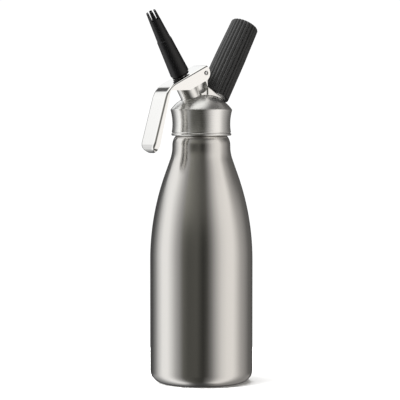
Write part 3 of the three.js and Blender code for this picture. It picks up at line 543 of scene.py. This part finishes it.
lug_rear = pin_place.x + lug_radius
lug_root = bottle_top + 0.0165
lug_slope = math.radians(38.1)
lug_crest = (pin_place.z + lug_radius / math.cos(lug_slope)
             + (lug_rear - pin_place.x) * math.tan(lug_slope))
nozzle_up = nozzle_axis.to_3x3() @ Vector((0, 0, 1))
nozzle_back = nozzle_axis.to_3x3() @ Vector((1, 0, 0))
lug_front = nozzle_axis.translation + nozzle_back * lug_setback
front_run = (lug_crest - math.tan(lug_slope) * (lug_rear - lug_front.x) - lug_front.z) / (
    nozzle_up.z - math.tan(lug_slope) * nozzle_up.x)
lug_nose = lug_front + nozzle_up * front_run
lug_foot = lug_front + nozzle_up * ((lug_root - lug_front.z) / nozzle_up.z)
crest_turn = math.pi / 2 + lug_slope
lug_outline = [(lug_rear, lug_root)]
lug_outline += arc((pin_place.x, pin_place.z), lug_radius, 0, crest_turn, 12)
lug_outline += [(lug_nose.x, lug_nose.z), (lug_foot.x, lug_foot.z)]
lug = slab("pin_lug", lug_outline, lug_half_width, lug_edge)

block_overlap = 0.0016
charger_up = charger_axis.to_3x3() @ Vector((0, 0, 1))
block_top = charger_axis.translation + charger_up * charger_boss_top
block_foot = charger_axis.translation + charger_up * charger_boss_foot
block_front = lug_rear - block_overlap
block_rise = block_top.z + (block_top.x - block_front) * charger_up.x / charger_up.z
block_outline = [(block_front, lug_root), (block_foot.x, block_foot.z), (block_top.x, block_top.z),
                 (block_front, block_rise)]
charger_block = slab("charger_block", block_outline, charger_boss_radius, charger_boss_edge)


def cut_or_fuse(piece, other, operation):
    """Fuses another solid to a piece, or cuts it away, and drops the other."""
    pick(piece)
    change = piece.modifiers.new("change", "BOOLEAN")
    change.operation = operation
    change.object = other
    bpy.ops.object.modifier_apply(modifier="change")
    bpy.data.objects.remove(other)


# The scoop in each side of the lug, and the casting's upper part, whose joints are softly filleted
scoop_centre = (-0.0068, 0.0099, bottle_top + 0.028)
scoop_size = (0.0063, 0.0044, 0.0062)
for side in (-1, 1):
    bpy.ops.object.select_all(action="DESELECT")
    bpy.ops.mesh.primitive_uv_sphere_add(segments=48, ring_count=24, radius=1)
    scoop = bpy.context.object
    scoop.scale = scoop_size
    scoop.location = (scoop_centre[0], scoop_centre[1] * side, scoop_centre[2])
    bpy.ops.object.transform_apply()
    cut_or_fuse(lug, scoop, "DIFFERENCE")
casting = head_shell.copy()
casting.data = head_shell.data.copy()
bpy.context.collection.objects.link(casting)
for part in (valve_boss, charger_boss, lug, charger_block):
    cut_or_fuse(casting, part, "UNION")
cut_or_fuse(casting, plug, "DIFFERENCE")
fillet_grain = 0.0004
fillet_rounds = 10
pick(casting)
remesh = casting.modifiers.new("remesh", "REMESH")
remesh.mode = "VOXEL"
remesh.voxel_size = fillet_grain
remesh.use_smooth_shade = True
bpy.ops.object.modifier_apply(modifier="remesh")
soften = casting.modifiers.new("soften", "SMOOTH")
soften.factor = 0.5
soften.iterations = fillet_rounds
bpy.ops.object.modifier_apply(modifier="soften")

# The turned shell ends at the collar's top, and the filleted part carries on from just below it
block_size = 0.2
block_lap = 0.00005
for piece, lap, operation in ((casting, block_lap, "INTERSECT"), (head_shell, 0, "DIFFERENCE")):
    block_height = collar_top + block_size / 2 - lap
    bpy.ops.mesh.primitive_cube_add(size=block_size, location=(0, 0, block_height))
    cut_or_fuse(piece, bpy.context.object, operation)
pick(head_shell, casting)
bpy.ops.object.join()
bpy.ops.object.shade_smooth_by_angle(angle=math.radians(35))
head = head_shell
head.data.materials.append(brushed_steel("head_steel", (0.85, 0.845, 0.825, 1), 0.28, 1800, 0.01))
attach(head, "head")
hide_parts("head_body")

# Head thread. The ridge cut inside the steel collar, which screws on the neck's. It is the same ridge
# pointing inwards, half a turn on, so that the two mesh.
head_thread_foot = neck_thread_foot + thread_pitch / 2
head_thread_turns = 2.2
head_thread = thread_ridge("head_thread", head_bore, head_thread_foot, head_thread_turns, -thread_rise)
head_thread.data.materials.append(head.data.materials[0])
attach(head_thread, "head")

# Lever. One strip of polished steel, pressed to a channel and bent down to a handle whose toe curls
# in. It starts as a flat grid, takes its pressed shape row by row, and then gets its thickness.
lever_half_width = 0.011
sheet = 0.0014
fold_rear = 0.0021
fold_toe = 0.002
web_lean = math.radians(26.1)
web_height = 0.00595
web_rear = 0.0042
rear_radius = 0.0024
rear_dip = math.radians(35)
web_reach = 0.043
bend_radius = 0.022
handle_turn = math.radians(47.5)
handle_length = 0.0578
toe_radius = 0.006
toe_corner = 0.009
toe_depth = 0.0064
cheek_drop = 0.0061
cheek_foot = -0.001
cheek_flat = -0.0223
cheek_rear = (0.00635, -0.0033)
neck_depth = 0.0035
neck_run = 0.0014

handle_run = Vector((-math.cos(handle_turn), -math.sin(handle_turn)))
handle_in = Vector((math.sin(handle_turn), -math.cos(handle_turn)))
web_corner = Vector((-web_reach, web_height))
rear_curl = rear_radius * rear_dip
web_end = web_rear - rear_radius * math.sin(rear_dip)
bend_start = web_reach - bend_radius * math.tan(handle_turn / 2)
bend_length = bend_radius * handle_turn
straight = handle_length - toe_radius - bend_radius * math.tan(handle_turn / 2)


def along_lever(distance):
    """The place on the lever's outer face, this far along it from its rear edge."""
    if distance < rear_curl:
        turn = rear_dip - distance / rear_radius
        out = Vector((math.sin(turn), math.cos(turn)))
        return Vector((web_end, web_height - rear_radius)) + out * rear_radius
    at_bend = rear_curl + web_end + bend_start
    if distance < at_bend:
        return Vector((web_end + rear_curl - distance, web_height))
    if distance < at_bend + bend_length:
        turn = (distance - at_bend) / bend_radius
        centre = Vector((-bend_start, web_height - bend_radius))
        return centre + Vector((-math.sin(turn), math.cos(turn))) * bend_radius
    past = distance - at_bend - bend_length
    start = web_corner + handle_run * (bend_radius * math.tan(handle_turn / 2))
    if past < straight:
        return start + handle_run * past
    turn = min((past - straight) / toe_radius, math.pi / 2)
    centre = start + handle_run * straight + handle_in * toe_radius
    return centre + (-handle_in * math.cos(turn) + handle_run * math.sin(turn)) * toe_radius


lever_length = rear_curl + web_end + bend_start + bend_length + straight + toe_radius * math.pi / 2


def half_width_at(place):
    """Half the lever's width, which narrows round the corners of the toe."""
    down = (place - web_corner).dot(handle_run)
    into_corner = down - (handle_length - toe_corner)
    if into_corner <= 0 or place.x > -web_reach:
        return lever_half_width
    return lever_half_width - toe_corner + math.sqrt(max(toe_corner ** 2 - into_corner ** 2, 0))


def cheek_edge(place):
    """The free edge of the cheek under a place on the outer face, and how far its line bows back."""
    if place.x > cheek_flat:
        share = (web_rear - place.x) / (web_rear - cheek_flat)
        return Vector((cheek_foot + (cheek_flat - cheek_foot) * share, -cheek_drop)), 1 - share
    handle_point = web_corner + handle_run * neck_run + handle_in * neck_depth
    toe_point = web_corner + handle_run * handle_length + handle_in * toe_depth
    down = (place - web_corner).dot(handle_run)
    if down > neck_run:
        share = (down - neck_run) / (handle_length - neck_run)
        return handle_point.lerp(toe_point, min(share, 1)), 0
    share = (cheek_flat - place.x) / (cheek_flat + web_reach)
    return Vector((cheek_flat, -cheek_drop)).lerp(handle_point, min(max(share, 0), 1)), 0


rows = 150
columns = 48
cheek_share = 0.22
inner_share = 1 - cheek_share * 2
least_depth = 0.0001


def across_strip(spot, half, fold, depth):
    """Half width and share of the way down the cheek, for a spot from the middle (0) to the edge (1)."""
    if spot < inner_share:
        return spot / inner_share * (half - fold), 0
    if spot < inner_share + cheek_share:
        turn = (spot - inner_share) / cheek_share * math.pi / 2
        return half - fold + fold * math.sin(turn), fold * (1 - math.cos(turn)) / depth
    down = (spot - inner_share - cheek_share) / cheek_share
    return half, (fold + (depth - fold) * down) / depth


bpy.ops.object.select_all(action="DESELECT")
bpy.ops.mesh.primitive_grid_add(x_subdivisions=rows, y_subdivisions=columns, size=1)
lever = bpy.context.object
lever.name = "polished_lever"
rear_middle = (Vector((web_rear, web_height)) + Vector((cheek_foot, -cheek_drop))) / 2
for vertex in lever.data.vertices:
    distance = (vertex.co.x + 0.5) * lever_length
    across = vertex.co.y * 2
    place = along_lever(distance)
    half = half_width_at(place)
    edge, bow = cheek_edge(place)
    depth = max((place - edge).length, least_depth)
    fold = min(fold_rear + (fold_toe - fold_rear) * distance / lever_length, half, depth)
    offset, down_share = across_strip(abs(across), half, fold, depth)
    swell = 2 * down_share * (1 - down_share) * bow
    spread = place + (edge - place) * down_share + (Vector(cheek_rear) - rear_middle) * swell
    vertex.co = (spread.x, math.copysign(offset, across), spread.y)

# The slot in the web that the stem stands in, longer than the stem is wide
slot_radius = 0.0046
slot_front = -0.01884
slot_slide = 0.00157
bpy.ops.mesh.primitive_cylinder_add(vertices=48, radius=slot_radius, depth=sheet * 4,
                                    location=(slot_front, 0, web_height))
slot = bpy.context.object
bpy.ops.object.transform_apply()
for vertex in slot.data.vertices:
    if vertex.co.x > slot_front:
        vertex.co.x += slot_slide
lever_frame = Matrix.Translation(pin_place) @ Matrix.Rotation(-web_lean, 4, "Y")
pick(lever)
lever.data.flip_normals()
thickness = lever.modifiers.new("thickness", "SOLIDIFY")
thickness.thickness = sheet
thickness.offset = -1
thickness.thickness_clamp = 2
bpy.ops.object.modifier_apply(modifier="thickness")
cut_or_fuse(lever, slot, "DIFFERENCE")
bpy.ops.object.mode_set(mode="EDIT")
bpy.ops.mesh.select_all(action="SELECT")
bpy.ops.mesh.normals_make_consistent(inside=False)
bpy.ops.object.mode_set(mode="OBJECT")
stand(lever, lever_frame)
lever_steel = grained("lever_steel", (0.9, 0.895, 0.88, 1), 1, (900, 900, 900), (0.05, 0.12), 4)
lever.data.materials.append(lever_steel)
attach(lever, "lever")
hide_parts("lever")

# Pivot pin. A plain turned steel pin on which the lever turns. It goes through both cheeks and the
# lug, and its ends are peened over to raised rims.
gap = 0.0003
pin_radius = 0.0017
pin_head = 0.002
pin_head_rise = 0.0004
pin_crest = 0.0015
pin_dish = 0.0009
pin_half = lever_half_width + gap
crest_half = 0.0001
crest_height = pin_half + pin_head_rise
crest_side = crest_height - 0.00004
dish_floor = pin_half - 0.0001
head_outline = [(pin_radius, pin_half), (pin_head, pin_half), (pin_crest + crest_half, crest_side)]
head_outline += [(pin_crest, crest_height), (pin_crest - crest_half, crest_side)]
head_outline += [(pin_dish, dish_floor), (0, dish_floor)]
pin_outline = [(r, -z) for r, z in head_outline[::-1]] + head_outline
pin_axis = Matrix.Translation(pin_place) @ Matrix.Rotation(math.pi / 2, 4, "X")
pin = turned("pivot_pin_bright", pin_outline, steps=48, around=pin_axis)


def plain_steel(name, colour, roughness):
    """Machined steel, a little uneven in its gloss."""
    return grained(name, colour, 1, (1500, 1500, 1500), (roughness * 0.7, roughness * 1.3))


pin.data.materials.append(plain_steel("pin_steel", (0.6, 0.6, 0.6, 1), 0.14))
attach(pin, "head")
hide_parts("pivot_pin")

# Valve stem. A bright turned steel tube that slides in the head and carries the nozzle. The lever
# presses on its crowned shoulder, and the seal is held at its narrower tail.
shoulder_radius = 0.007
shoulder_foot = 0.03953
shoulder_top = 0.04203
stem_radius = 0.004
stem_bore = 0.0023
stem_top = 0.05829
stem_foot = 0.0058
tail_radius = 0.003
seat_height = 0.0145
crown_curve = 0.06
shoulder_edge = 0.0003
stem_edge = 0.0004
stem_floor = 0.015


def crown(radius):
    """How far a crowned face falls away at this radius."""
    return radius * radius / crown_curve / 2


stem_outline = [(0, stem_foot), (tail_radius, stem_foot), (tail_radius, seat_height)]
stem_outline += [(stem_radius, seat_height), (stem_radius, shoulder_foot)]
stem_outline += [(shoulder_radius - shoulder_edge, shoulder_foot)]
stem_outline += [(shoulder_radius, shoulder_foot + shoulder_edge)]
stem_outline += [(shoulder_radius, shoulder_top - crown(shoulder_radius) - shoulder_edge)]
stem_outline += [(r, shoulder_top - crown(r)) for r in (0.0067, 0.006, 0.005, stem_radius)]
stem_outline += [(stem_radius, stem_top - stem_edge), (stem_radius - stem_edge, stem_top)]
stem_outline += [(stem_bore, stem_top), (stem_bore, stem_floor), (0, stem_floor)]
stem = turned("bright_stem", stem_outline, steps=64, around=nozzle_axis)
stem.data.materials.append(plain_steel("stem_steel", (0.7, 0.7, 0.71, 1), 0.2))
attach(stem, "stem")
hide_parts("valve_stem")

# Valve spring. Drawn steel wire, wound in one coil round the stem. It stands on a washer in the valve
# boss and pushes up under the stem's shoulder.
spring_radius = 0.0053
wire_radius = 0.00055
spring_turns = 5.5
spring_steps = 220
spring_seat = 0.0257
spring_start = spring_seat + wire_radius
spring_end = shoulder_foot - gap - wire_radius
bpy.ops.object.select_all(action="DESELECT")
bpy.ops.mesh.primitive_circle_add(vertices=12, radius=wire_radius, fill_type="NGON",
                                  location=(spring_radius, 0, spring_start), rotation=(math.pi / 2, 0, 0))
spring = bpy.context.object
spring.name = "wound_spring"
bpy.ops.object.transform_apply()
wound(spring, spring_turns, spring_end - spring_start, spring_steps)
stand(spring, nozzle_axis, math.radians(40))
spring.data.materials.append(plain_steel("spring_wire", (0.55, 0.56, 0.58, 1), 0.3))
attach(spring, "head")
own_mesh(spring)
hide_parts("valve_spring")

# Nozzle collar. A low moulded ring of black plastic, fixed on the stem above the lever. It has a
# crowned foot, and the nozzle seats on its neck.
ring_bore = 0.0043
ring_radius = 0.0079
ring_foot = 0.04444
ring_flange = 0.0011
ring_neck = 0.0069
ring_top = 0.04629
ring_shelf = 0.006
ring_edge = 0.0002
ring_rim = ring_foot + crown(ring_radius)
ring_outline = [(ring_bore, ring_foot + crown(ring_bore)), (ring_shelf, ring_foot + crown(ring_shelf))]
ring_outline += [(ring_radius - ring_edge, ring_rim), (ring_radius, ring_rim + ring_edge)]
ring_outline += [(ring_radius, ring_foot + ring_flange), (ring_neck, ring_foot + ring_flange + gap)]
ring_outline += [(ring_neck, ring_top), (ring_bore, ring_top), ring_outline[0]]
collar_ring = turned("black_collar", ring_outline, steps=72, around=nozzle_axis)


def black_plastic(name, colour, roughness, grain):
    """Moulded black plastic with a very fine skin."""
    plastic = grained(name, colour, 0, (grain, grain, grain), (roughness * 0.85, roughness * 1.15), 3)
    plastic.node_tree.nodes["Principled BSDF"].inputs["Specular IOR Level"].default_value = 0.36
    add_relief(plastic, 0.15, 0.00005)
    return plastic


nozzle_plastic = black_plastic("nozzle_plastic", (0.0045, 0.0045, 0.005, 1), 0.3, 2500)
collar_ring.data.materials.append(nozzle_plastic)
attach(collar_ring, "stem")
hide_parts("nozzle_collar")

# Nozzle. A moulded cone of black plastic that screws on the stem. It has a step halfway, and its tip
# is slit into six teeth by three cuts with rounded ends.
nozzle_foot = 0.04659
nozzle_length = 0.0622
nozzle_base = 0.0086
nozzle_round = 0.0011
step_height = 0.034
step_radius = 0.00675
step_in = 0.0004
tip_radius = 0.0046
tip_wall = 0.00125
tip_edge = 0.0003
socket_depth = 0.012
seal_pocket = 0.0019
seal_radius = 0.0063
slot_depth = 0.0088
slot_tip = 0.0024
slot_root = 0.0017
nozzle_top = nozzle_foot + nozzle_length
nozzle_corner = (nozzle_base - nozzle_round, nozzle_foot + nozzle_round)
nozzle_outline = [(ring_bore, nozzle_foot + seal_pocket), (seal_radius, nozzle_foot + seal_pocket)]
nozzle_outline += [(seal_radius, nozzle_foot)] + arc(nozzle_corner, nozzle_round, -math.pi / 2, 0, 8)
nozzle_outline += [(step_radius, nozzle_foot + step_height)]
nozzle_outline += [(step_radius - step_in, nozzle_foot + step_height + step_in)]
nozzle_outline += [(tip_radius, nozzle_top - tip_edge), (tip_radius - tip_edge, nozzle_top)]
nozzle_outline += [(tip_radius - tip_wall, nozzle_top)]
nozzle_outline += [(ring_bore, nozzle_foot + socket_depth + ring_bore), nozzle_outline[0]]
nozzle = turned("fluted_nozzle", nozzle_outline, steps=96)
slot_centre = nozzle_top - slot_depth + slot_root / 2
for turn in (0, 60, 120):
    bpy.ops.object.select_all(action="DESELECT")
    bpy.ops.mesh.primitive_cylinder_add(vertices=32, radius=slot_root / 2, depth=nozzle_base * 2,
                                        location=(0, 0, slot_centre), rotation=(math.pi / 2, 0, 0))
    cutter = bpy.context.object
    bpy.ops.object.transform_apply()
    for vertex in cutter.data.vertices:
        if vertex.co.z > slot_centre + slot_root / 4:
            vertex.co.x = math.copysign(slot_tip / 2, vertex.co.x) if abs(vertex.co.x) > 0.00001 else 0
            vertex.co.z = nozzle_top + 0.001
    cutter.matrix_world = Matrix.Rotation(math.radians(turn), 4, "Z")
    bpy.ops.object.transform_apply()
    cut_or_fuse(nozzle, cutter, "DIFFERENCE")
stand(nozzle, nozzle_axis)
nozzle.data.materials.append(nozzle_plastic)
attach(nozzle, "nozzle")
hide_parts("nozzle")

# Charger holder. A long moulded cap of black plastic with 24 rounded ribs and a low crown. A metal
# insert in its mouth screws on the spigot, and it drives the charger on to the pin.
holder_foot = 0.0282
holder_length = 0.0753
holder_top = holder_foot + holder_length
holder_foot_radius = 0.0141
holder_mid_radius = 0.01385
holder_top_radius = 0.01295
holder_round = 0.0026
holder_crown = 0.0019
rib_count = 24
rib_depth = 0.0009
rib_shape = 1.3
rib_fade = (0.009, 0.011)
rib_foot = 0.0002
bare_middle = 0.003
crown_foot = holder_top - holder_crown - holder_round
crown_lean = math.radians(62)
crown_steps = 8
foot_round = 0.0006
insert_radius = 0.0116
insert_top = 0.0423
bore_radius = 0.0106
bore_foot = 0.0434
bore_head = 0.0964
bore_end_radius = 0.0095
bore_end = 0.0984


def side_points(low, high, shares):
    """Points on the straight side between two (radius, height) ends."""
    return [(low[0] + (high[0] - low[0]) * s, low[1] + (high[1] - low[1]) * s) for s in shares]


holder_outline = [(0, bore_end), (bore_end_radius, bore_end), (bore_radius, bore_head)]
holder_outline += [(bore_radius, bore_foot), (insert_radius, insert_top), (insert_radius, holder_foot)]
mouth_corner = (holder_foot_radius - foot_round, holder_foot + foot_round)
holder_outline += arc(mouth_corner, foot_round, -math.pi / 2, 0, 5)
side_foot = (holder_foot_radius, holder_foot + foot_round)
side_middle = (holder_mid_radius, holder_foot + holder_length / 2)
holder_outline += side_points(side_foot, side_middle, (0.25, 0.5, 0.75, 1))
holder_outline += side_points(side_middle, (holder_top_radius, crown_foot), (0.25, 0.5, 0.75))
holder_outline += arc((holder_top_radius - holder_round, crown_foot), holder_round, 0, crown_lean, 10)
crown_edge = holder_outline[-1]
for i in range(1, crown_steps + 1):
    share = i / crown_steps
    rise = (holder_top - crown_edge[1]) * (1 - (1 - share) ** 2)
    holder_outline.append((crown_edge[0] * (1 - share), crown_edge[1] + rise))
holder = turned("ribbed_holder", holder_outline, steps=rib_count * 8)


def rib_sink(point, radius):
    """How far the side is sunk between two ribs, fading out over the crown and at the foot."""
    if point.z < holder_foot + rib_foot:
        return 0
    around_share = math.atan2(point.y, point.x) / math.tau * rib_count
    valley = 1 - abs(math.sin(math.pi * around_share))
    fade = 1
    if point.z > crown_foot:
        fade = max(0, min(1, (radius - rib_fade[0]) / (rib_fade[1] - rib_fade[0])))
    return rib_depth * valley ** rib_shape * fade


for vertex in holder.data.vertices:
    radius = math.hypot(vertex.co.x, vertex.co.y)
    in_bore = radius < insert_radius + foot_round / 2 and vertex.co.z < crown_foot
    if in_bore or radius < bare_middle:
        continue
    shrink = 1 - rib_sink(vertex.co, radius) / radius
    vertex.co.x *= shrink
    vertex.co.y *= shrink
stand(holder, charger_axis)
holder.data.materials.append(black_plastic("holder_plastic", (0.021, 0.021, 0.021, 1), 0.38, 1800))
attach(holder, "holder")
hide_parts("charger_holder")


# Inner pieces. The seals, washers, nut, pin and charger sit inside, where they show only when a
# part is unscrewed. They keep the solids that they have, and get the finish of what they are made of.
def finish_of(name, colour, roughness, metallic, grain):
    """One of the plain inner finishes, with a slight grain."""
    return grained(name, colour, metallic, (grain, grain, grain), (roughness * 0.8, roughness * 1.2))


rubber = finish_of("black_rubber", (0.02, 0.02, 0.02, 1), 0.7, 0, 1200)
silicone = finish_of("grey_silicone", (0.55, 0.6, 0.63, 1), 0.5, 0, 900)
brass = finish_of("turned_brass", (0.75, 0.58, 0.28, 1), 0.28, 1, 1500)
inner_steel = finish_of("inner_steel", (0.66, 0.67, 0.69, 1), 0.28, 1, 1500)
inner_pieces = {
    rubber: ("valve_seal", "gland_o_ring_lower", "gland_o_ring_upper", "nozzle_seal", "charger_seal"),
    silicone: ("head_gasket", "check_valve"),
    brass: ("piercing_pin", "pin_screw", "charger_cap"),
    inner_steel: ("valve_nut", "valve_washer", "spring_washer", "gas_charger", "holder_insert"),
}
for stuff, names in inner_pieces.items():
    for name in names:
        for slot in frame["nodes"][name].material_slots:
            slot.material = stuff
